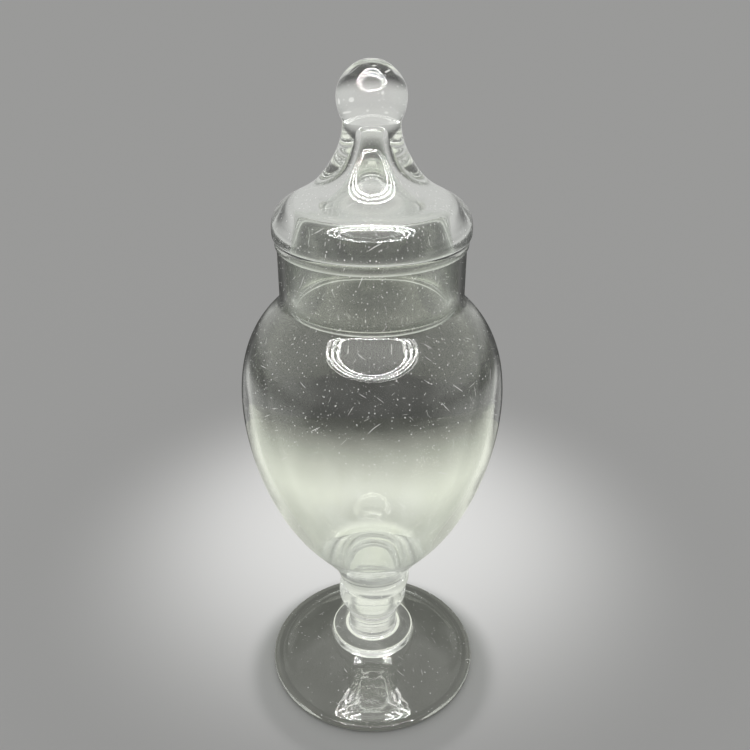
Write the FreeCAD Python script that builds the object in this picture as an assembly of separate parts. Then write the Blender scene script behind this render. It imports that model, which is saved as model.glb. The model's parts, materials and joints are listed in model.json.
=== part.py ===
"""Footed glass display jar with a drop-in lid, in millimetres.

The jar stands on its foot at z = 0 with its axis on +Z.  Every piece is turned about
that axis from a half-section, drawn as (radius, height) points in the XZ plane.
A smooth run of a half-section is a curve drawn by its control points.
"""
import FreeCAD, Part
import math
import os

AXIS_POINT = FreeCAD.Vector(0, 0, 0)
UP = FreeCAD.Vector(0, 0, 1)

# Foot: a wide cone with a rounded edge and a hollow underside.
FOOT_RADIUS = 38.0
FOOT_EDGE_THICKNESS = 2.6
FOOT_THICKNESS = 3.2
FOOT_TOP_Z = 11.5
RESTING_RING_WIDTH = 3.0

# Low rounded disc on the foot, from which the pillar rises.
COLLAR_RADIUS = 15.1
COLLAR_TOP_Z = 15.0
COLLAR_EDGE_ROUND = 1.6

# Pillar with one turned ring near its top.
PILLAR_RADIUS = 8.7
PILLAR_BASE_RADIUS = 10.2
PILLAR_FILLET_HEIGHT = 2.4
PILLAR_RING_RADIUS = 9.3
PILLAR_RING_Z = 23.4
PILLAR_RING_HEIGHT = 1.8

# Rounded swelling at the top of the stem.
KNOP_BASE_Z = 27.0
KNOP_BASE_RADIUS = 9.8
KNOP_RADIUS = 12.2
KNOP_TOP_Z = 36.1
KNOP_TOP_RADIUS = 11.5

# Button of glass that joins bowl and stem.  It was pressed on slightly to one side.
BOSS_RADIUS = 12.4
BOSS_BASE_RADIUS = 11.6
BOSS_TOP_Z = 41.1
BOSS_OFFSET_X = 0.9

# Egg-shaped bowl with a straight neck, and the thick floor inside it.
BOWL_BASE_RADIUS = 12.3
BOWL_WALL_AT_BASE = 2.8
NECK_WALL = 1.95
NECK_RADIUS = 28.0
NECK_BASE_Z = 150.0
NECK_TOP_Z = 164.1
FLOOR_Z = 51.1
FLOOR_RADIUS = 7.0
EGG_OUTLINE = (
    (BOWL_BASE_RADIUS, BOSS_TOP_Z),
    (13.5, 46.9),
    (25.7, 60.1),
    (35.8, 80.2),
    (41.6, 101.8),
    (42.4, 125.8),
    (36.3, 139.3),
    (30.2, 145.0),
)
SHOULDER_OUTLINE = (
    EGG_OUTLINE[-1],
    (NECK_RADIUS, 147.1),
    (NECK_RADIUS, NECK_BASE_Z),
)
FLOOR_OUTLINE = (
    (FLOOR_RADIUS, FLOOR_Z),
    (10.5, FLOOR_Z),
    (17.2, 54.0),
)

# Fire-polished bead round the mouth.
BEAD_RADIUS = 28.65
MOUTH_Z = 167.1
MOUTH_FLARE = 1.2
BEAD_TOP_WIDTH = 0.6

# Thin ring under the lid that drops into the neck.
PLUG_RADIUS = 25.0
PLUG_WALL = 1.4
PLUG_BASE_Z = 144.9
PLUG_BEAD_ROUND = 0.95
PLUG_FILLET_HEIGHT = 4.4
PLUG_FILLET_WIDTH = 1.6

# Flared cover of the lid with its rolled rim, up to the waist under the finial.
RIM_SEAT_RADIUS = 28.0
RIM_TOP = (28.9, 173.1)
WAIST_RADIUS = 8.2
WAIST_Z = 199.4
HOLLOW_TIP_Z = 198.4
RIM_OUTLINE = (
    (RIM_SEAT_RADIUS, MOUTH_Z),
    (29.2, MOUTH_Z),
    (29.4, 168.6),
    (29.4, 171.5),
    RIM_TOP,
)
FLARE_OUTLINE = (
    RIM_TOP,
    (28.0, 175.7),
    (24.5, 178.0),
    (17.5, 181.3),
    (13.0, 186.1),
    (9.1, 192.8),
    (WAIST_RADIUS, 196.7),
    (WAIST_RADIUS, WAIST_Z),
)
HOLLOW_OUTLINE = (
    (0, HOLLOW_TIP_Z),
    (2.9, HOLLOW_TIP_Z),
    (2.9, 195.0),
    (4.4, 188.5),
    (7.2, 181.5),
    (13.0, 176.5),
    (20.5, 174.6),
    (PLUG_RADIUS - PLUG_WALL, 172.8),
    (PLUG_RADIUS - PLUG_WALL, MOUTH_Z),
)

# Solid ball finial, a little wider than it is tall, cut off flat where it joins the waist.
BALL_TOP_Z = 215.4
BALL_OUTLINE = (
    (WAIST_RADIUS, WAIST_Z),
    (9.1, 201.2),
    (10.3, 205.0),
    (9.3, 210.0),
    (5.7, 213.8),
    (3.0, BALL_TOP_Z),
    (0, BALL_TOP_Z),
)


def point(place):
    """A (radius, height) place of a half-section as a point in space."""
    radius, height = place
    return FreeCAD.Vector(radius, 0, height)


def line(start, end):
    """A straight edge of a half-section."""
    return Part.LineSegment(point(start), point(end)).toShape()


def curve(outline):
    """A smooth edge of a half-section, from its control points."""
    spline = Part.BSplineCurve()
    degree = min(3, len(outline) - 1)
    spline.buildFromPoles([point(place) for place in outline], False, degree)
    return spline.toShape()


def turned(edges):
    """The solid swept by a closed half-section as it turns once about the axis."""
    section = Part.Face(Part.Wire(edges))
    return section.revolve(AXIS_POINT, UP, 360)


def foot():
    """Cone with a rounded edge; its hollow underside follows the top."""
    edge_round = FOOT_EDGE_THICKNESS / 2
    edge_radius = FOOT_RADIUS - edge_round
    ring_radius = edge_radius - RESTING_RING_WIDTH
    hollow_z = FOOT_TOP_Z - FOOT_THICKNESS
    edge = Part.Arc(
        point((edge_radius, 0)),
        point((FOOT_RADIUS, edge_round)),
        point((edge_radius, FOOT_EDGE_THICKNESS)),
    )
    top = (
        (edge_radius, FOOT_EDGE_THICKNESS),
        (33.0, 3.8),
        (23.0, 7.8),
        (COLLAR_RADIUS + 1.0, 10.5),
        (COLLAR_RADIUS, FOOT_TOP_Z),
    )
    hollow = (
        (0, hollow_z),
        (9.0, hollow_z),
        (18.0, 6.8),
        (26.0, 3.4),
        (ring_radius, 0),
    )
    return turned([
        curve(hollow),
        line((ring_radius, 0), (edge_radius, 0)),
        edge.toShape(),
        curve(top),
        line((COLLAR_RADIUS, FOOT_TOP_Z), (0, FOOT_TOP_Z)),
        line((0, FOOT_TOP_Z), (0, hollow_z)),
    ])


def foot_collar():
    """Low disc with a rounded upper edge."""
    straight_z = COLLAR_TOP_Z - COLLAR_EDGE_ROUND
    flat_radius = COLLAR_RADIUS - COLLAR_EDGE_ROUND
    edge = (
        (COLLAR_RADIUS, straight_z),
        (COLLAR_RADIUS, COLLAR_TOP_Z),
        (flat_radius, COLLAR_TOP_Z),
    )
    return turned([
        line((0, FOOT_TOP_Z), (COLLAR_RADIUS, FOOT_TOP_Z)),
        line((COLLAR_RADIUS, FOOT_TOP_Z), (COLLAR_RADIUS, straight_z)),
        curve(edge),
        line((flat_radius, COLLAR_TOP_Z), (0, COLLAR_TOP_Z)),
        line((0, COLLAR_TOP_Z), (0, FOOT_TOP_Z)),
    ])


def stem_pillar():
    """Short pillar: fillet at the base, one ring, and a flare under the knop."""
    ring_low = PILLAR_RING_Z - PILLAR_RING_HEIGHT / 2
    ring_high = PILLAR_RING_Z + PILLAR_RING_HEIGHT / 2
    fillet_z = COLLAR_TOP_Z + PILLAR_FILLET_HEIGHT
    fillet = (
        (PILLAR_BASE_RADIUS, COLLAR_TOP_Z),
        (PILLAR_RADIUS, COLLAR_TOP_Z + 0.5),
        (PILLAR_RADIUS, fillet_z),
    )
    ring = Part.Arc(
        point((PILLAR_RADIUS, ring_low)),
        point((PILLAR_RING_RADIUS, PILLAR_RING_Z)),
        point((PILLAR_RADIUS, ring_high)),
    )
    flare = (
        (PILLAR_RADIUS, ring_high),
        (PILLAR_RADIUS, KNOP_BASE_Z - 0.4),
        (KNOP_BASE_RADIUS, KNOP_BASE_Z),
    )
    return turned([
        line((0, COLLAR_TOP_Z), (PILLAR_BASE_RADIUS, COLLAR_TOP_Z)),
        curve(fillet),
        line((PILLAR_RADIUS, fillet_z), (PILLAR_RADIUS, ring_low)),
        ring.toShape(),
        curve(flare),
        line((KNOP_BASE_RADIUS, KNOP_BASE_Z), (0, KNOP_BASE_Z)),
        line((0, KNOP_BASE_Z), (0, COLLAR_TOP_Z)),
    ])


def stem_knop():
    """Rounded swelling, widest a little below its middle."""
    side = (
        (KNOP_BASE_RADIUS, KNOP_BASE_Z),
        (11.8, 27.9),
        (KNOP_RADIUS + 0.2, 31.2),
        (KNOP_RADIUS, 34.4),
        (KNOP_TOP_RADIUS, KNOP_TOP_Z),
    )
    return turned([
        line((0, KNOP_BASE_Z), (KNOP_BASE_RADIUS, KNOP_BASE_Z)),
        curve(side),
        line((KNOP_TOP_RADIUS, KNOP_TOP_Z), (0, KNOP_TOP_Z)),
        line((0, KNOP_TOP_Z), (0, KNOP_BASE_Z)),
    ])


def bowl_boss():
    """Button between knop and bowl, moved to one side of the axis."""
    side = (
        (BOSS_BASE_RADIUS, KNOP_TOP_Z),
        (BOSS_RADIUS, KNOP_TOP_Z + 0.6),
        (BOSS_RADIUS, KNOP_TOP_Z + 2.0),
        (BOSS_RADIUS, BOSS_TOP_Z),
    )
    button = turned([
        line((0, KNOP_TOP_Z), (BOSS_BASE_RADIUS, KNOP_TOP_Z)),
        curve(side),
        line((BOSS_RADIUS, BOSS_TOP_Z), (0, BOSS_TOP_Z)),
        line((0, BOSS_TOP_Z), (0, KNOP_TOP_Z)),
    ])
    button.translate(FreeCAD.Vector(BOSS_OFFSET_X, 0, 0))
    return button


def wall_at(height):
    """Thickness of the bowl's wall, which thins from its base up to the neck."""
    climb = (height - FLOOR_Z) / (NECK_BASE_Z - FLOOR_Z)
    return BOWL_WALL_AT_BASE + (NECK_WALL - BOWL_WALL_AT_BASE) * climb


def inside_of(outline):
    """Control points of the inner surface, one wall inside those of the outer."""
    inner = []
    for before, here, after in zip(outline, outline[1:], outline[2:]):
        run = after[0] - before[0]
        rise = after[1] - before[1]
        share = wall_at(here[1]) / math.hypot(run, rise)
        inner.append((here[0] - rise * share, here[1] + run * share))
    return inner


def jar_bowl():
    """Egg with a thick bottom, a round shoulder and a straight neck."""
    mouth_radius = NECK_RADIUS - NECK_WALL
    outside = EGG_OUTLINE + SHOULDER_OUTLINE[1:]
    inside = list(FLOOR_OUTLINE) + inside_of(outside[1:]) + [(mouth_radius, NECK_BASE_Z)]
    return turned([
        line((0, BOSS_TOP_Z), (BOWL_BASE_RADIUS, BOSS_TOP_Z)),
        curve(EGG_OUTLINE),
        curve(SHOULDER_OUTLINE),
        line((NECK_RADIUS, NECK_BASE_Z), (NECK_RADIUS, NECK_TOP_Z)),
        line((NECK_RADIUS, NECK_TOP_Z), (mouth_radius, NECK_TOP_Z)),
        line((mouth_radius, NECK_TOP_Z), (mouth_radius, NECK_BASE_Z)),
        curve(inside[::-1]),
        line((FLOOR_RADIUS, FLOOR_Z), (0, FLOOR_Z)),
        line((0, FLOOR_Z), (0, BOSS_TOP_Z)),
    ])


def mouth_bead():
    """Rounded ring that ends the neck; the lid's rim rests on its flat top."""
    inner_radius = NECK_RADIUS - NECK_WALL
    top_inner = inner_radius + MOUTH_FLARE
    top_outer = top_inner + BEAD_TOP_WIDTH
    flare_z = NECK_TOP_Z + 0.8
    outer_side = (
        (NECK_RADIUS, NECK_TOP_Z),
        (BEAD_RADIUS, NECK_TOP_Z + 0.3),
        (BEAD_RADIUS, MOUTH_Z - 0.8),
        (BEAD_RADIUS, MOUTH_Z),
        (top_outer, MOUTH_Z),
    )
    inner_side = (
        (top_inner, MOUTH_Z),
        (inner_radius, MOUTH_Z),
        (inner_radius, flare_z),
    )
    return turned([
        line((inner_radius, NECK_TOP_Z), (NECK_RADIUS, NECK_TOP_Z)),
        curve(outer_side),
        line((top_outer, MOUTH_Z), (top_inner, MOUTH_Z)),
        curve(inner_side),
        line((inner_radius, flare_z), (inner_radius, NECK_TOP_Z)),
    ])


def lid_plug_collar():
    """Thin ring with a beaded lower edge and a fillet under the lid."""
    inner_radius = PLUG_RADIUS - PLUG_WALL
    half_wall = PLUG_WALL / 2
    bead_top_z = PLUG_BASE_Z + PLUG_BEAD_ROUND + math.sqrt(PLUG_BEAD_ROUND**2 - half_wall**2)
    fillet_z = MOUTH_Z - PLUG_FILLET_HEIGHT
    fillet_radius = PLUG_RADIUS + PLUG_FILLET_WIDTH
    bead = Part.Arc(
        point((inner_radius, bead_top_z)),
        point((inner_radius + half_wall, PLUG_BASE_Z)),
        point((PLUG_RADIUS, bead_top_z)),
    )
    fillet = (
        (PLUG_RADIUS, fillet_z),
        (PLUG_RADIUS, MOUTH_Z - 0.6),
        (fillet_radius, MOUTH_Z),
    )
    return turned([
        bead.toShape(),
        line((PLUG_RADIUS, bead_top_z), (PLUG_RADIUS, fillet_z)),
        curve(fillet),
        line((fillet_radius, MOUTH_Z), (inner_radius, MOUTH_Z)),
        line((inner_radius, MOUTH_Z), (inner_radius, bead_top_z)),
    ])


def lid_dome():
    """Thick flared cover; the hollow inside it narrows up to the waist."""
    return turned([
        line((PLUG_RADIUS - PLUG_WALL, MOUTH_Z), (RIM_SEAT_RADIUS, MOUTH_Z)),
        curve(RIM_OUTLINE),
        curve(FLARE_OUTLINE),
        line((WAIST_RADIUS, WAIST_Z), (0, WAIST_Z)),
        line((0, WAIST_Z), (0, HOLLOW_TIP_Z)),
        curve(HOLLOW_OUTLINE),
    ])


def lid_finial():
    """Solid ball that springs from the lid's waist."""
    return turned([
        line((0, WAIST_Z), (WAIST_RADIUS, WAIST_Z)),
        curve(BALL_OUTLINE),
        line((0, BALL_TOP_Z), (0, WAIST_Z)),
    ])


PIECES = (
    foot,
    foot_collar,
    stem_pillar,
    stem_knop,
    bowl_boss,
    jar_bowl,
    mouth_bead,
    lid_plug_collar,
    lid_dome,
    lid_finial,
)

os.makedirs("parts", exist_ok=True)
for piece in PIECES:
    piece().exportStep(f"parts/{piece.__name__}.step")
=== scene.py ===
import json
import math

import bmesh
import bpy
import numpy as np
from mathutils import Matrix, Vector, noise


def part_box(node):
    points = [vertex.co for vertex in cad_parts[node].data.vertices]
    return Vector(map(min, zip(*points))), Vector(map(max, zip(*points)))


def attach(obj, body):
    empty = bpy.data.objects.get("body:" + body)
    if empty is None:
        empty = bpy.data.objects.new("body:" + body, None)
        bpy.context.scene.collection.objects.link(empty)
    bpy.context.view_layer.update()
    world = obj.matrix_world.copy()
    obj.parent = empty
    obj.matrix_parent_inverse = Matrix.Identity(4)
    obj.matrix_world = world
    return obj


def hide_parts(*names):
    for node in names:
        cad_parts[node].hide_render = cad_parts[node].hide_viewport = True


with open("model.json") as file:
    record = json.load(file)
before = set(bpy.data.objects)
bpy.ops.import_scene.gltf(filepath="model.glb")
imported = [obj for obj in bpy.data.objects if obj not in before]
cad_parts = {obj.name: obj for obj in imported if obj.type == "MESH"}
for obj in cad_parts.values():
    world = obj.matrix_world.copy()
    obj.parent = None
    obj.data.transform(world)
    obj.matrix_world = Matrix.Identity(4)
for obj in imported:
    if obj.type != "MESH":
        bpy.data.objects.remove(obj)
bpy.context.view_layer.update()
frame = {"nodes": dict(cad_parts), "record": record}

MM = 0.001

# Neighbours that are fused in one flat plane, the lower one first.
FUSED_PAIRS = (
    ("foot", "foot_collar"),
    ("foot_collar", "stem_pillar"),
    ("stem_pillar", "stem_knop"),
    ("stem_knop", "bowl_boss"),
    ("bowl_boss", "jar_bowl"),
    ("jar_bowl", "mouth_bead"),
    ("lid_plug_collar", "lid_dome"),
    ("lid_dome", "lid_finial"),
)

# Lathe meshes: segments round the axis, and how far apart the rings lie along an outline.
SEGMENTS = 192
LONGEST_STEP = 1.3 * MM
SHORTEST_STEP = 0.1 * MM
TURN_PER_RING = math.radians(5.0)
FINE_STEP = 0.04 * MM
CORNER_ANGLE = math.radians(24.0)
CORNER_ROUND = 0.14 * MM
LONG_STRAIGHT = 6.0 * MM
STRAIGHT_LEAD = 1.0 * MM
BEND_WINDOW = 9
# Two places closer than this are the same.
SAME = 2e-6
# How far the mouth bead stays below the lid that rests on it.
SEAT_GAP = 0.05 * MM


# ---------------------------------------------------------------- outlines from the frame

def centre_x(node):
    """Where a turned piece's own axis stands along X."""
    low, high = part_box(node)
    return (low.x + high.x) / 2


def section(node):
    """A node's outline right of its axis: (radius, height) points in order, and whether it is a loop."""
    axis = Vector((centre_x(node), 0, 0))
    half = bmesh.new()
    half.from_mesh(frame["nodes"][node].data)
    bmesh.ops.remove_doubles(half, verts=half.verts, dist=1e-6)
    whole = half.verts[:] + half.edges[:] + half.faces[:]
    bmesh.ops.bisect_plane(half, geom=whole, dist=SAME, plane_co=axis, plane_no=(-1, 0, 0), clear_outer=True)
    rest = half.verts[:] + half.edges[:] + half.faces[:]
    cut = bmesh.ops.bisect_plane(half, geom=rest, dist=SAME, plane_co=axis, plane_no=(0, 1, 0))["geom_cut"]
    links = {}
    for item in cut:
        if not isinstance(item, bmesh.types.BMEdge):
            continue
        first, second = [(round(v.co.x - axis.x, 6), round(v.co.z, 6)) for v in item.verts]
        if first != second and max(first[0], second[0]) > SAME:
            links.setdefault(first, set()).add(second)
            links.setdefault(second, set()).add(first)
    half.free()
    loose = [place for place, near in links.items() if len(near) == 1]
    chain = [max(loose or links, key=lambda place: place[1])]
    while True:
        onward = [place for place in links[chain[-1]] if place not in chain]
        if not onward:
            break
        chain.append(min(onward, key=lambda place: math.dist(place, chain[-1])))
    return np.array(chain), not loose


def turns(points):
    """The turning angle at each inner point of a line of points."""
    steps = np.diff(points, axis=0)
    headings = np.unwrap(np.arctan2(steps[:, 1], steps[:, 0]))
    return np.diff(headings)


def without_straight_points(points):
    """The line of points without those in the middle of a straight stretch."""
    kept = [points[0]]
    for before, here, after in zip(points, points[1:], points[2:]):
        sideways = np.cross(here - before, after - before) / max(math.dist(before, after), SAME)
        if abs(sideways) > 0.2 * SAME or np.dot(here - before, after - here) < 0:
            kept.append(here)
    kept.append(points[-1])
    return np.array(kept)


def spline_through(points):
    """A finely stepped smooth curve through points; straight if there are only two."""
    gaps = np.linalg.norm(np.diff(points, axis=0), axis=1)
    knots = np.concatenate([[0], np.cumsum(gaps)])
    count = len(points)
    system = np.eye(count)
    right = np.zeros((count, 2))
    slopes = np.diff(points, axis=0) / gaps[:, None]
    for i in range(1, count - 1):
        system[i, i - 1 : i + 2] = gaps[i - 1], 2 * (gaps[i - 1] + gaps[i]), gaps[i]
        right[i] = 6 * (slopes[i] - slopes[i - 1])
    bends = np.linalg.solve(system, right)
    places = np.linspace(0, knots[-1], max(3, int(knots[-1] / FINE_STEP)))
    span = np.clip(np.searchsorted(knots, places, side="right") - 1, 0, count - 2)
    gap = gaps[span, None]
    after = places[:, None] - knots[span, None]
    before = gap - after
    return (
        bends[span] * before**3 / (6 * gap)
        + bends[span + 1] * after**3 / (6 * gap)
        + (points[span] / gap - bends[span] * gap / 6) * before
        + (points[span + 1] / gap - bends[span + 1] * gap / 6) * after
    )


def rounded(path):
    """A finely stepped path with its corners softened; its two ends stay where they are."""
    reach = int(3 * CORNER_ROUND / FINE_STEP)
    if len(path) < 2 * reach:
        return path
    offsets = np.arange(-reach, reach + 1)
    weights = np.exp(-0.5 * (offsets * FINE_STEP / CORNER_ROUND) ** 2)
    weights /= weights.sum()
    padded = np.vstack([
        beyond(path[reach:0:-1], path[0]),
        path,
        beyond(path[-2 : -reach - 2 : -1], path[-1]),
    ])
    return np.column_stack([np.convolve(padded[:, axis], weights, "valid") for axis in (0, 1)])


def beyond(stretch, end):
    """The stretch that continues a path past its end: mirrored in the axis, or turned about the end."""
    if end[0] < SAME:
        return stretch * (-1, 1)
    return 2 * end - stretch


def smooth_run(points):
    """A finely stepped smooth path through the points, with only its true corners kept and softened."""
    filled = [points[0]]
    for here, onward in zip(points, points[1:]):
        length = math.dist(here, onward)
        if length > LONG_STRAIGHT:
            lead = STRAIGHT_LEAD / length
            filled += [here + (onward - here) * share for share in (lead, 0.5, 1 - lead)]
        filled.append(onward)
    points = np.array(filled)
    sharp = [i + 1 for i, turn in enumerate(turns(points)) if abs(turn) > CORNER_ANGLE]
    corners = [0] + sharp + [len(points) - 1]
    path = [points[:1]]
    for begin, end in zip(corners, corners[1:]):
        path.append(mirrored_spline(points[begin : end + 1])[1:])
    return rounded(np.vstack(path))


def mirrored_spline(points):
    """The smooth curve through points; where it ends on the axis it crosses it squarely."""
    lead = points[2:0:-1] * (-1, 1) if points[0][0] < SAME and len(points) > 3 else points[:0]
    tail = points[-2:-4:-1] * (-1, 1) if points[-1][0] < SAME and len(points) > 3 else points[:0]
    curve = spline_through(np.vstack([lead, points, tail]))
    first = np.argmin(np.linalg.norm(curve - points[0], axis=1))
    last = np.argmin(np.linalg.norm(curve - points[-1], axis=1))
    curve = curve[first : last + 1]
    curve[0], curve[-1] = points[0], points[-1]
    return curve


def rings_along(path):
    """The places on a finely stepped path where the lathe mesh has its rings: closer where it bends."""
    lengths = np.linalg.norm(np.diff(path, axis=0), axis=1)
    bend = np.abs(np.concatenate([[0], turns(path)]))
    bend = np.convolve(bend, np.ones(BEND_WINDOW) / BEND_WINDOW, "same")
    wanted = np.clip(bend / TURN_PER_RING, lengths / LONGEST_STEP, lengths / SHORTEST_STEP)
    travelled = np.concatenate([[0], np.cumsum(wanted)])
    stops = np.linspace(0, travelled[-1], max(3, math.ceil(travelled[-1])) + 1)
    return np.column_stack([np.interp(stops, travelled, path[:, axis]) for axis in (0, 1)])


def fused_heights(node):
    """The heights at which a node is fused to a neighbour, each with that pair of nodes."""
    return {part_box(pair[0])[1].z: pair for pair in FUSED_PAIRS if node in pair}


def lathe_outline(node):
    """Ring places of a node's visual mesh, and the fused pair of each step from one ring to the next."""
    points, closed = section(node)
    heights = fused_heights(node)

    def pair_of(a, b):
        for height, pair in heights.items():
            if abs(a[1] - height) < 2 * SAME and abs(b[1] - height) < 2 * SAME:
                return pair
        return None

    if closed:
        count = len(points)
        starts = [
            i for i in range(count)
            if pair_of(points[i], points[(i + 1) % count]) and not pair_of(points[i - 1], points[i])
        ]
        points = np.roll(points, -starts[0], axis=0)
        points = np.vstack([points, points[:1]])
    points = without_straight_points(points)
    rings = [points[0]]
    pairs = []
    begin = 0
    while begin < len(points) - 1:
        pair = pair_of(points[begin], points[begin + 1])
        end = begin + 1
        while end < len(points) - 1 and pair_of(points[end], points[end + 1]) == pair:
            end += 1
        stretch = points[begin : end + 1]
        new_rings = stretch[[0, -1]] if pair else rings_along(smooth_run(stretch))
        rings += list(new_rings[1:])
        pairs += [pair] * (len(new_rings) - 1)
        begin = end
    if closed:
        rings.pop()
    return np.array(rings), pairs


# ---------------------------------------------------------------- lathe meshes

# How far the surface of hand-worked glass strays, slowly and quickly, and over what width and height.
SLOW_STRAY = 0.05 * MM
SLOW_WIDTH = 30.0 * MM
SLOW_HEIGHT = 60.0 * MM
QUICK_STRAY = 0.022 * MM
QUICK_WIDTH = 11.0 * MM
QUICK_HEIGHT = 26.0 * MM
# Surfaces this far apart in radius, such as the two sides of a wall, stray on their own.
QUICK_DEPTH = 4.0 * MM
# Within this radius the straying fades out, so that the surface meets smoothly on the axis.
STRAY_FADE_RADIUS = 4.0 * MM


def stray(x, y, z, radius):
    """How far hand-worked glass strays outwards from the true turned surface at a point."""
    slow = noise.noise(Vector((x / SLOW_WIDTH, y / SLOW_WIDTH, z / SLOW_HEIGHT)))
    shift = radius / QUICK_DEPTH
    quick = noise.noise(Vector((x / QUICK_WIDTH + shift, y / QUICK_WIDTH, z / QUICK_HEIGHT)))
    return (SLOW_STRAY * slow + QUICK_STRAY * quick) * min(1, radius / STRAY_FADE_RADIUS)


def turned_points(rings, axis_x):
    """The points of all rings, and for each ring the row of its points' numbers."""
    verts = []
    rows = []
    for radius, height in rings:
        if radius < SAME:
            rows.append([len(verts)] * SEGMENTS)
            verts.append((axis_x, 0, height))
            continue
        rows.append(list(range(len(verts), len(verts) + SEGMENTS)))
        for k in range(SEGMENTS):
            angle = math.tau * k / SEGMENTS
            across, along = math.cos(angle), math.sin(angle)
            out = radius + stray(radius * across, radius * along, height, radius)
            verts.append((axis_x + out * across, out * along, height))
    return verts, rows


def turned_faces(rings, rows, pairs):
    """The faces between rings: each one's corners with their places on the unrolled sheet, and its pair."""
    around = math.tau * rings[:, 0].max() / SEGMENTS
    run = 0
    for i, pair in enumerate(pairs):
        following = (i + 1) % len(rings)
        low, high = rows[i], rows[following]
        onward = run + math.dist(rings[i], rings[following])
        for k in range(SEGMENTS):
            nxt = (k + 1) % SEGMENTS
            left, right = k * around, (k + 1) * around
            corners = {
                low[k]: (left, run),
                low[nxt]: (right, run),
                high[nxt]: (right, onward),
                high[k]: (left, onward),
            }
            yield corners, pair
        run = onward


def lathe(name, node, body, materials, seam_index):
    """A mesh turned from a node's outline, standing in for that node and riding its body."""
    rings, pairs = lathe_outline(node)
    if node == "mouth_bead":
        rings[:, 1] = np.minimum(rings[:, 1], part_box(node)[1].z - SEAT_GAP)
    verts, rows = turned_points(rings, centre_x(node))
    faces = list(turned_faces(rings, rows, pairs))
    mesh = bpy.data.meshes.new(name)
    mesh.from_pydata(verts, [], [list(corners) for corners, pair in faces])
    work = bmesh.new()
    work.from_mesh(mesh)
    sheet = work.loops.layers.uv.new("unrolled")
    for face, (corners, pair) in zip(work.faces, faces):
        face.smooth = True
        face.material_index = seam_index[pair] if pair else 0
        for corner in face.loops:
            corner[sheet].uv = corners[corner.vert.index]
    for edge in work.edges:
        kinds = {face.material_index == 0 for face in edge.link_faces}
        edge.smooth = len(kinds) == 1
    bmesh.ops.recalc_face_normals(work, faces=work.faces)
    work.to_mesh(mesh)
    work.free()
    piece = bpy.data.objects.new(name, mesh)
    bpy.context.scene.collection.objects.link(piece)
    for material in materials:
        mesh.materials.append(material)
    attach(piece, body)
    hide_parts(node)


# ---------------------------------------------------------------- materials

class Nodes:
    """A short way to build a material's node tree."""

    def __init__(self, name):
        self.material = bpy.data.materials.new(name)
        self.material.use_nodes = True
        self.tree = self.material.node_tree
        self.tree.nodes.clear()

    def add(self, kind, inputs=None, **settings):
        """A node with its settings, and with values or links for its named inputs."""
        node = self.tree.nodes.new(kind)
        for key, value in settings.items():
            setattr(node, key, value)
        for key, value in (inputs or {}).items():
            if isinstance(value, bpy.types.NodeSocket):
                self.tree.links.new(value, node.inputs[key])
            else:
                node.inputs[key].default_value = value
        return node

    def math(self, operation, *values):
        """The result of a Math node."""
        return self.add("ShaderNodeMath", dict(enumerate(values)), operation=operation).outputs[0]

    def output(self, surface):
        """The material, finished with its surface."""
        self.add("ShaderNodeOutputMaterial", {"Surface": surface})
        return self.material


def place_of(n):
    """Where a shaded point lies, in metres from the jar's origin."""
    return n.add("ShaderNodeTexCoord").outputs["Object"]


def ramp(n, value, start, end, low, high):
    """A value that changes smoothly from low to high as another goes from start to end."""
    return n.add("ShaderNodeMapRange", {
        "Value": value, "From Min": start, "From Max": end, "To Min": low, "To Max": high,
    }, interpolation_type="SMOOTHSTEP").outputs["Result"]


def cells(n, sheet, share, reach):
    """A mask of the spots within reach of the cells' random centres, for a share of the cells."""
    spots = n.add("ShaderNodeTexVoronoi", {"Vector": sheet, "Scale": 1.0}, voronoi_dimensions="2D")
    pick = n.add("ShaderNodeSeparateColor", {0: spots.outputs["Color"]})
    near = n.math("LESS_THAN", spots.outputs["Distance"], n.math("MULTIPLY", pick.outputs["Green"], reach))
    return n.math("MULTIPLY", near, n.math("LESS_THAN", pick.outputs["Red"], share))


# Dust: how far apart its cells are, the share of them with a speck, and a speck's largest reach in its cell.
DUST_SPACING = 1.7 * MM
DUST_SHARE = 0.22
DUST_REACH = 0.12
# Lint and fine scratches lie along two slants, in long narrow cells, and are bent by a slow noise.
LINT_TURNS = (0.5, 2.2)
LINT_CELL = (17.0 * MM, 0.7 * MM, 1.0)
LINT_SHARE = 0.026
LINT_REACH = 0.13
LINT_BEND = 4.0 * MM
LINT_BENDS_PER_METRE = 70.0


def marks(n, dirt):
    """How much of the surface is covered by dust specks, lint and fine scratches."""
    sheet = n.add("ShaderNodeUVMap", uv_map="unrolled").outputs[0]
    dust = n.add("ShaderNodeMapping", {"Vector": sheet, "Scale": [DUST_SPACING] * 3}, vector_type="TEXTURE")
    mask = cells(n, dust.outputs[0], DUST_SHARE * dirt, DUST_REACH)
    bend = n.add("ShaderNodeTexNoise", {
        "Vector": sheet, "Scale": LINT_BENDS_PER_METRE, "Detail": 0.0,
    }, noise_dimensions="2D")
    curled = n.add("ShaderNodeVectorMath", {
        0: bend.outputs["Color"], 1: [LINT_BEND] * 3, 2: sheet,
    }, operation="MULTIPLY_ADD").outputs[0]
    for turn in LINT_TURNS:
        lint = n.add("ShaderNodeMapping", {
            "Vector": curled, "Rotation": (0, 0, turn), "Scale": LINT_CELL,
        }, vector_type="TEXTURE")
        mask = n.math("MAXIMUM", mask, cells(n, lint.outputs[0], LINT_SHARE * dirt, LINT_REACH))
    return mask


GLASS_IOR = 1.5
EDGE_BLEND = 0.35
# Smears lie in clouds, so many to a metre; the thickest part of a cloud makes the glass rough.
CLOUDS_PER_METRE = 110.0
SMEARED_CLOUD = (0.6, 0.9)
SMEAR_ROUGHNESS = 0.03
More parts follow.
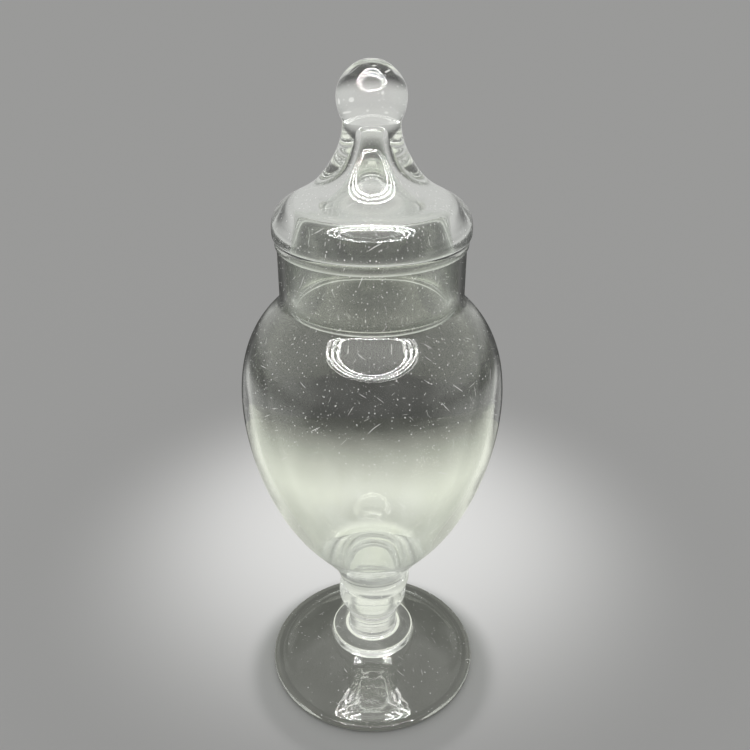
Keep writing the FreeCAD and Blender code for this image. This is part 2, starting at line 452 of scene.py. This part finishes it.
# The haze follows the same clouds, from a share of its mean in thin ones to a multiple in thick ones.
HAZY_CLOUD = (0.3, 0.75)
HAZE_SHARES = (0.4, 1.6)
# Haze and dust shine by themselves, in place of the light they would scatter: how brightly, and how much of
# the glass a speck covers.
VEIL_COLOUR = (0.97, 1.0, 0.94, 1)
VEIL_GLOW = 0.85
DUST_COLOUR = (1.0, 1.0, 0.97, 1)
DUST_GLOW = 0.85
DUST_COVER = 0.8
# Painted light: how much more the thick glass of the stem and of the bowl's bottom glows, in place of the
# light it gathers, and between which heights.
THICK_PAINTED_GLOW = 0.20
THICK_FROM = (0.012, 0.018)
THICK_TO = (0.045, 0.075)


def glass_surface(n, tint, edge_tint, haze, dirt):
    """Clear glass: faintly tinted, more so at its edges, with soft smears, haze, dust and scratches, and a
    painted glow of gathered light in the thick glass of the stem and of the bowl's bottom.
    """
    facing = n.add("ShaderNodeLayerWeight", {"Blend": EDGE_BLEND}).outputs["Facing"]
    colour = n.add("ShaderNodeMix", {0: facing, 6: tint, 7: edge_tint}, data_type="RGBA").outputs[2]
    cloud = n.add("ShaderNodeTexNoise", {
        "Vector": place_of(n), "Scale": CLOUDS_PER_METRE, "Detail": 2.0,
    }).outputs["Fac"]
    glass = n.add("ShaderNodeBsdfPrincipled", {
        "Base Color": colour,
        "Roughness": ramp(n, cloud, *SMEARED_CLOUD, 0.0, SMEAR_ROUGHNESS),
        "IOR": GLASS_IOR,
        "Transmission Weight": 1.0,
    }).outputs["BSDF"]
    veil = n.add("ShaderNodeEmission", {"Color": VEIL_COLOUR, "Strength": VEIL_GLOW}).outputs[0]
    dust = n.add("ShaderNodeEmission", {"Color": DUST_COLOUR, "Strength": DUST_GLOW}).outputs[0]
    height = n.add("ShaderNodeSeparateXYZ", {0: place_of(n)}).outputs["Z"]
    # Painted light: the thick glass of the stem and of the bowl's bottom glows more, in place of the light
    # it gathers.
    thick_painted_glow = n.math(
        "MULTIPLY",
        ramp(n, height, *THICK_FROM, 0.0, THICK_PAINTED_GLOW),
        ramp(n, height, *THICK_TO, 1.0, 0.0),
    )
    cover = n.math("MULTIPLY", ramp(n, cloud, *HAZY_CLOUD, *HAZE_SHARES), n.math("ADD", thick_painted_glow, haze))
    hazy = n.add("ShaderNodeMixShader", {0: cover, 1: glass, 2: veil}).outputs[0]
    dusty = n.math("MULTIPLY", marks(n, dirt), DUST_COVER)
    return n.add("ShaderNodeMixShader", {0: dusty, 1: hazy, 2: dust}).outputs[0]


# How glass seen edge-on darkens the light that passes through it.
EDGE_SHADE = (0.5, 0.52, 0.5, 1)


def lets_light_by(n, surface, tint):
    """The surface, but light on its way to something else passes it as through clear glass."""
    path = n.add("ShaderNodeLightPath").outputs["Is Shadow Ray"]
    facing = n.add("ShaderNodeLayerWeight", {"Blend": 0.5}).outputs["Facing"]
    shade = n.add("ShaderNodeMix", {0: facing, 6: tint, 7: EDGE_SHADE}, data_type="RGBA").outputs[2]
    clear = n.add("ShaderNodeBsdfTransparent", {"Color": shade}).outputs[0]
    return n.add("ShaderNodeMixShader", {0: path, 1: surface, 2: clear}).outputs[0]


# Colour of the glass face on and at its edges, for each material slot.
TINTS = {
    "jar_glass": ((0.985, 0.992, 0.965, 1), (0.92, 0.96, 0.90, 1)),
    "lid_glass": ((0.985, 0.993, 0.975, 1), (0.92, 0.965, 0.93, 1)),
}
# How hazy and how dusty the surface of each piece is.
WEAR = {
    "foot": (0.012, 0.5),
    "foot_collar": (0.012, 0.5),
    "stem_pillar": (0.012, 0.3),
    "stem_knop": (0.012, 0.3),
    "bowl_boss": (0.012, 0.3),
    "jar_bowl": (0.006, 0.8),
    "mouth_bead": (0.006, 0.5),
    "lid_plug_collar": (0.008, 0.6),
    "lid_dome": (0.008, 1.3),
    "lid_finial": (0.010, 2.8),
}


def glass(node, slot):
    """The glass of one piece."""
    n = Nodes(node + "_glass")
    tint, edge_tint = TINTS[slot]
    return n.output(lets_light_by(n, glass_surface(n, tint, edge_tint, *WEAR[node]), tint))


# How far inside and outside of a fused flat its edges still count as fused.
SEAM_INNER_MARGIN = 0.2 * MM
SEAM_OUTER_MARGIN = 0.02 * MM


def seam(pair, slot):
    """The flat where two pieces are fused: no surface at all where both have glass."""
    n = Nodes("fused_" + pair[1])
    place = n.add("ShaderNodeSeparateXYZ", {0: place_of(n)})
    inside = 1.0
    for node in pair:
        rings, pairs = lathe_outline(node)
        count = len(rings)
        reach = [rings[(i + j) % count][0] for i, p in enumerate(pairs) if p == pair for j in (0, 1)]
        across = n.math("SUBTRACT", place.outputs["X"], centre_x(node))
        distance = n.math("SQRT", n.math(
            "ADD",
            n.math("MULTIPLY", across, across),
            n.math("MULTIPLY", place.outputs["Y"], place.outputs["Y"]),
        ))
        within = n.math(
            "MULTIPLY",
            n.math("GREATER_THAN", distance, min(reach) - SEAM_INNER_MARGIN),
            n.math("LESS_THAN", distance, max(reach) + SEAM_OUTER_MARGIN),
        )
        inside = n.math("MULTIPLY", within, inside)
    tint, edge_tint = TINTS[slot]
    nothing = n.add("ShaderNodeBsdfTransparent").outputs[0]
    bare = lets_light_by(n, glass_surface(n, tint, edge_tint, *WEAR[pair[0]]), tint)
    return n.output(n.add("ShaderNodeMixShader", {0: inside, 1: bare, 2: nothing}).outputs[0])


# ---------------------------------------------------------------- the jar and its lid

SLOT_OF = {row["node"]: row["material_slot"] for row in frame["record"]["subparts"]}
seam_of = {pair: seam(pair, SLOT_OF[pair[0]]) for pair in FUSED_PAIRS}
BODIES = frame["record"]["behaviour"]["bodies"]

for body, members in BODIES.items():
    for node in members:
        own_pairs = [pair for pair in FUSED_PAIRS if node in pair]
        lathe(
            node + "_glass",
            node,
            body,
            [glass(node, SLOT_OF[node])] + [seam_of[pair] for pair in own_pairs],
            {pair: i + 1 for i, pair in enumerate(own_pairs)},
        )


# ---------------------------------------------------------------- floor, light and camera

# The number of sides of the floor, the tent and the lamp's strips.
ROUND_SIDES = 96

FLOOR_RADIUS = 9.0
FLOOR_COLOUR = (0.62, 0.62, 0.61, 1)
# The floor and the mat on it lie this far below the foot.
FLOOR_DROP = 0.1 * MM
MAT_DROP = 0.05 * MM

# The lamp: rows of small beads on strips, in a ring under the tent's top, centred in front of the jar.
LAMP_X, LAMP_Y, LAMP_Z = 0.0, -0.200, 0.400
LAMP_RADII = (0.155, 0.182, 0.210)
LAMP_BEADS = 60
LAMP_BEAD_RADIUS = 4.0 * MM
LAMP_BEAD_SIDES = 8
LAMP_BEAD_GLOW = 160.0
LAMP_STRIP_WIDTH = 12.0 * MM
LAMP_STRIP_RISE = 1.0 * MM
LAMP_STRIP_GLOW = 7.0

# The tent round lamp and jar, and how brightly its parts shine.
TENT_COLOUR = (1.0, 1.0, 0.98, 1)
TENT_RADIUS = 0.370
TENT_HEIGHT = 0.410
TENT_SHADE = 0.065
TENT_BACK = 0.58
TENT_SIDE = 0.62
TENT_TOP = 1.1
TENT_FRONT_SHARE = 0.35
TENT_HIGH_SIDE_SHARE = 0.2
# Where its wall brightens: from which to which height, and from which to which place aside.
WALL_BRIGHTENS_UP = (0.10, 0.17)
WALL_BRIGHTENS_ASIDE = (0.10, 0.15)
# Where its sides get darker going up, where it brightens going back, and where its top fades outwards.
SIDES_DARKEN_UP = (0.045, 0.080)
WALL_BRIGHTENS_BACK = (-0.30, -0.10)
TOP_FADES_OUT = (0.12, 0.26)

# The tent's mat, and how brightly its parts shine with painted light and shade.
MAT_COLOUR = (0.98, 1.0, 0.90, 1)
MAT_GLOW = 0.86
MAT_SHADED_NEAR_JAR = 0.50
MAT_UNDER_FOOT = 0.12
MAT_UNDER_STEM = 0.95
MAT_FRONT_SHARE = 0.3
MAT_LEFT, MAT_RIGHT = -0.4, 0.4
MAT_NEAR, MAT_FAR = -0.6, 0.2
# Where the mat brightens going away from the jar, out of its painted shade, and where the painted shade of
# its foot ends.
MAT_BRIGHTENS_OUT = (0.055, 0.120)
FOOT_SHADE_ENDS = (0.034, 0.052)
# The shade behind the jar: where it starts going back, and where it ends aside.
BACK_SHADE_STARTS = (0.09, 0.16)
BACK_SHADE_ENDS_ASIDE = (0.09, 0.14)
MAT_BRIGHTENS_BACK = (-0.50, -0.25)
# A bright strip of mat, in place of the light that the stem gathers: where it ends aside, and where it
# starts going back.
STEM_LIGHT_ENDS_ASIDE = (0.008, 0.013)
STEM_LIGHT_STARTS = (0.006, 0.014)

# The soft pool of light on the floor behind the jar, and the even light of the room.
POOL_Y = 0.075
POOL_LIGHT_HEIGHT = 1.2
POOL_ENERGY = 42.0
POOL_ANGLE = math.radians(12.5)
POOL_LIGHT_RADIUS = 0.04
ROOM_LIGHT = 0.52

# The camera, a short lens close to the jar that looks down on it.
CAMERA_PLACE = (0.0009, -0.2257, 0.2371)
CAMERA_PITCH = math.radians(27.3)
CAMERA_LENS = 38.0
CAMERA_SENSOR = 36.0
CAMERA_CLIP_START = 0.01


def circle(radius, height, count, x=0.0, y=0.0):
    """Points evenly spaced on a level circle."""
    angles = [math.tau * k / count for k in range(count)]
    return [(x + radius * math.cos(angle), y + radius * math.sin(angle), height) for angle in angles]


def band(first):
    """The faces between two circles of points that follow each other from point number first."""
    for k in range(ROUND_SIDES):
        nxt = (k + 1) % ROUND_SIDES
        yield first + k, first + nxt, first + ROUND_SIDES + nxt, first + ROUND_SIDES + k


def stage_object(name, verts, faces, material):
    """A thing of the studio, which is no part of the jar."""
    mesh = bpy.data.meshes.new(name)
    mesh.from_pydata(verts, [], faces)
    for polygon in mesh.polygons:
        polygon.use_smooth = True
    mesh.materials.append(material)
    thing = bpy.data.objects.new(name, mesh)
    bpy.context.scene.collection.objects.link(thing)
    return thing


def only_in_glass(thing):
    """Keep a glowing thing out of all but the reflections in the glass and the views through it."""
    thing.visible_camera = False
    thing.visible_diffuse = False
    thing.visible_shadow = False
    thing.data.materials[0].cycles.emission_sampling = "NONE"


def shining(n, strength, colour):
    """The finished material of something that only shines."""
    return n.output(n.add("ShaderNodeEmission", {"Color": colour, "Strength": strength}).outputs[0])


def wide_floor():
    """A pale flat floor that reaches to the horizon."""
    n = Nodes("pale_floor")
    material = n.output(n.add("ShaderNodeBsdfDiffuse", {"Color": FLOOR_COLOUR}).outputs[0])
    stage_object("floor", circle(FLOOR_RADIUS, -FLOOR_DROP, ROUND_SIDES), [range(ROUND_SIDES)], material)


def lamp_beads():
    """The lamp's beads, in three rows."""
    verts = []
    faces = []
    for radius in LAMP_RADII:
        for x, y, z in circle(radius, LAMP_Z, LAMP_BEADS, LAMP_X, LAMP_Y):
            faces.append(range(len(verts), len(verts) + LAMP_BEAD_SIDES))
            verts += circle(LAMP_BEAD_RADIUS, z, LAMP_BEAD_SIDES, x, y)
    material = shining(Nodes("lamp_bead"), LAMP_BEAD_GLOW, TENT_COLOUR)
    only_in_glass(stage_object("lamp_beads", verts, faces, material))


def lamp_strips():
    """The strips just above the beads, which shine more faintly."""
    verts = []
    faces = []
    for radius in LAMP_RADII:
        faces += band(len(verts))
        for edge in (radius - LAMP_STRIP_WIDTH / 2, radius + LAMP_STRIP_WIDTH / 2):
            verts += circle(edge, LAMP_Z + LAMP_STRIP_RISE, ROUND_SIDES, LAMP_X, LAMP_Y)
    material = shining(Nodes("lamp_strip"), LAMP_STRIP_GLOW, TENT_COLOUR)
    only_in_glass(stage_object("lamp_strips", verts, faces, material))


def tent():
    """A round tent of white cloth: dark low down behind the jar, brighter up high and low at the sides."""
    n = Nodes("tent_cloth")
    place = n.add("ShaderNodeSeparateXYZ", {0: place_of(n)})
    aside = n.math("ABSOLUTE", place.outputs["X"])
    low = ramp(n, place.outputs["Z"], *WALL_BRIGHTENS_UP, TENT_SHADE, TENT_BACK)
    side = n.math(
        "MULTIPLY",
        ramp(n, aside, *WALL_BRIGHTENS_ASIDE, 0.0, TENT_SIDE),
        ramp(n, place.outputs["Z"], *SIDES_DARKEN_UP, 1.0, TENT_HIGH_SIDE_SHARE),
    )
    wall = n.math("MAXIMUM", low, side)
    front = ramp(n, place.outputs["Y"], *WALL_BRIGHTENS_BACK, TENT_FRONT_SHARE, 1.0)
    from_centre = n.add("ShaderNodeVectorMath", {
        0: place_of(n), 1: (LAMP_X, LAMP_Y, TENT_HEIGHT),
    }, operation="DISTANCE").outputs["Value"]
    top = ramp(n, from_centre, *TOP_FADES_OUT, TENT_TOP, 0.0)
    glow = n.math("ADD", n.math("MULTIPLY", wall, front), top)
    verts = []
    for height in (0, TENT_HEIGHT):
        verts += circle(TENT_RADIUS, height, ROUND_SIDES, LAMP_X, LAMP_Y)
    faces = list(band(0)) + [range(ROUND_SIDES, 2 * ROUND_SIDES)]
    only_in_glass(stage_object("tent", verts, faces, shining(n, glow, TENT_COLOUR)))


def tent_mat():
    """The tent's white mat, glowing with painted light and shade: dimmer near the jar in painted shade, and
    in painted shade under its foot and behind it.
    """
    n = Nodes("tent_mat")
    place = n.add("ShaderNodeSeparateXYZ", {0: place_of(n)})
    aside = n.math("ABSOLUTE", place.outputs["X"])
    away = n.add("ShaderNodeVectorMath", {0: place_of(n)}, operation="LENGTH").outputs["Value"]
    behind = n.math(
        "MULTIPLY",
        ramp(n, place.outputs["Y"], *BACK_SHADE_STARTS, 0.0, 1.0),
        ramp(n, aside, *BACK_SHADE_ENDS_ASIDE, 1.0, 0.0),
    )
    front = ramp(n, place.outputs["Y"], *MAT_BRIGHTENS_BACK, MAT_FRONT_SHARE, 1.0)
    # Painted shade: the mat is dimmer near the jar.
    lit = n.math("MULTIPLY", front, ramp(n, away, *MAT_BRIGHTENS_OUT, MAT_SHADED_NEAR_JAR, MAT_GLOW))
    open_mat = n.add("ShaderNodeMix", {0: behind, 2: lit, 3: TENT_SHADE}).outputs[0]
    through_stem = n.math(
        "MULTIPLY",
        ramp(n, aside, *STEM_LIGHT_ENDS_ASIDE, 1.0, 0.0),
        ramp(n, place.outputs["Y"], *STEM_LIGHT_STARTS, 0.0, 1.0),
    )
    shade = n.add("ShaderNodeMix", {0: through_stem, 2: MAT_UNDER_FOOT, 3: MAT_UNDER_STEM}).outputs[0]
    under = ramp(n, away, *FOOT_SHADE_ENDS, 1.0, 0.0)
    glow = n.add("ShaderNodeMix", {0: under, 2: open_mat, 3: shade}).outputs[0]
    outline = ((MAT_LEFT, MAT_NEAR), (MAT_RIGHT, MAT_NEAR), (MAT_RIGHT, MAT_FAR), (MAT_LEFT, MAT_FAR))
    verts = [(x, y, -MAT_DROP) for x, y in outline]
    only_in_glass(stage_object("tent_mat", verts, [range(4)], shining(n, glow, MAT_COLOUR)))


def pool_light():
    """A soft spotlight from above that makes a pool of light on the floor behind the jar."""
    data = bpy.data.lights.new("pool_light", "SPOT")
    data.energy = POOL_ENERGY
    data.spot_size = POOL_ANGLE
    data.spot_blend = 1.0
    data.shadow_soft_size = POOL_LIGHT_RADIUS
    lamp = bpy.data.objects.new("pool_light", data)
    lamp.location = (0, POOL_Y, POOL_LIGHT_HEIGHT)
    bpy.context.scene.collection.objects.link(lamp)


def surroundings():
    """The even white light of the room, which is all that lights the floor besides the pool."""
    world = bpy.data.worlds.new("studio")
    bpy.context.scene.world = world
    world.use_nodes = True
    background = world.node_tree.nodes["Background"]
    background.inputs["Color"].default_value = (1, 1, 1, 1)
    background.inputs["Strength"].default_value = ROOM_LIGHT


def camera():
    """The camera in front of the jar."""
    data = bpy.data.cameras.new("camera")
    data.lens = CAMERA_LENS
    data.sensor_width = CAMERA_SENSOR
    data.clip_start = CAMERA_CLIP_START
    eye = bpy.data.objects.new("camera", data)
    eye.location = CAMERA_PLACE
    eye.rotation_euler = (math.radians(90) - CAMERA_PITCH, 0, 0)
    bpy.context.scene.collection.objects.link(eye)
    bpy.context.scene.camera = eye


wide_floor()
lamp_beads()
lamp_strips()
tent()
tent_mat()
pool_light()
surroundings()
camera()

# Light takes long paths through so many walls of glass.
scene = bpy.context.scene
scene.cycles.max_bounces = 40
scene.cycles.transmission_bounces = 40
scene.cycles.glossy_bounces = 12
scene.cycles.transparent_max_bounces = 64
scene.cycles.caustics_reflective = False
scene.cycles.caustics_refractive = False
scene.view_settings.view_transform = "Standard"
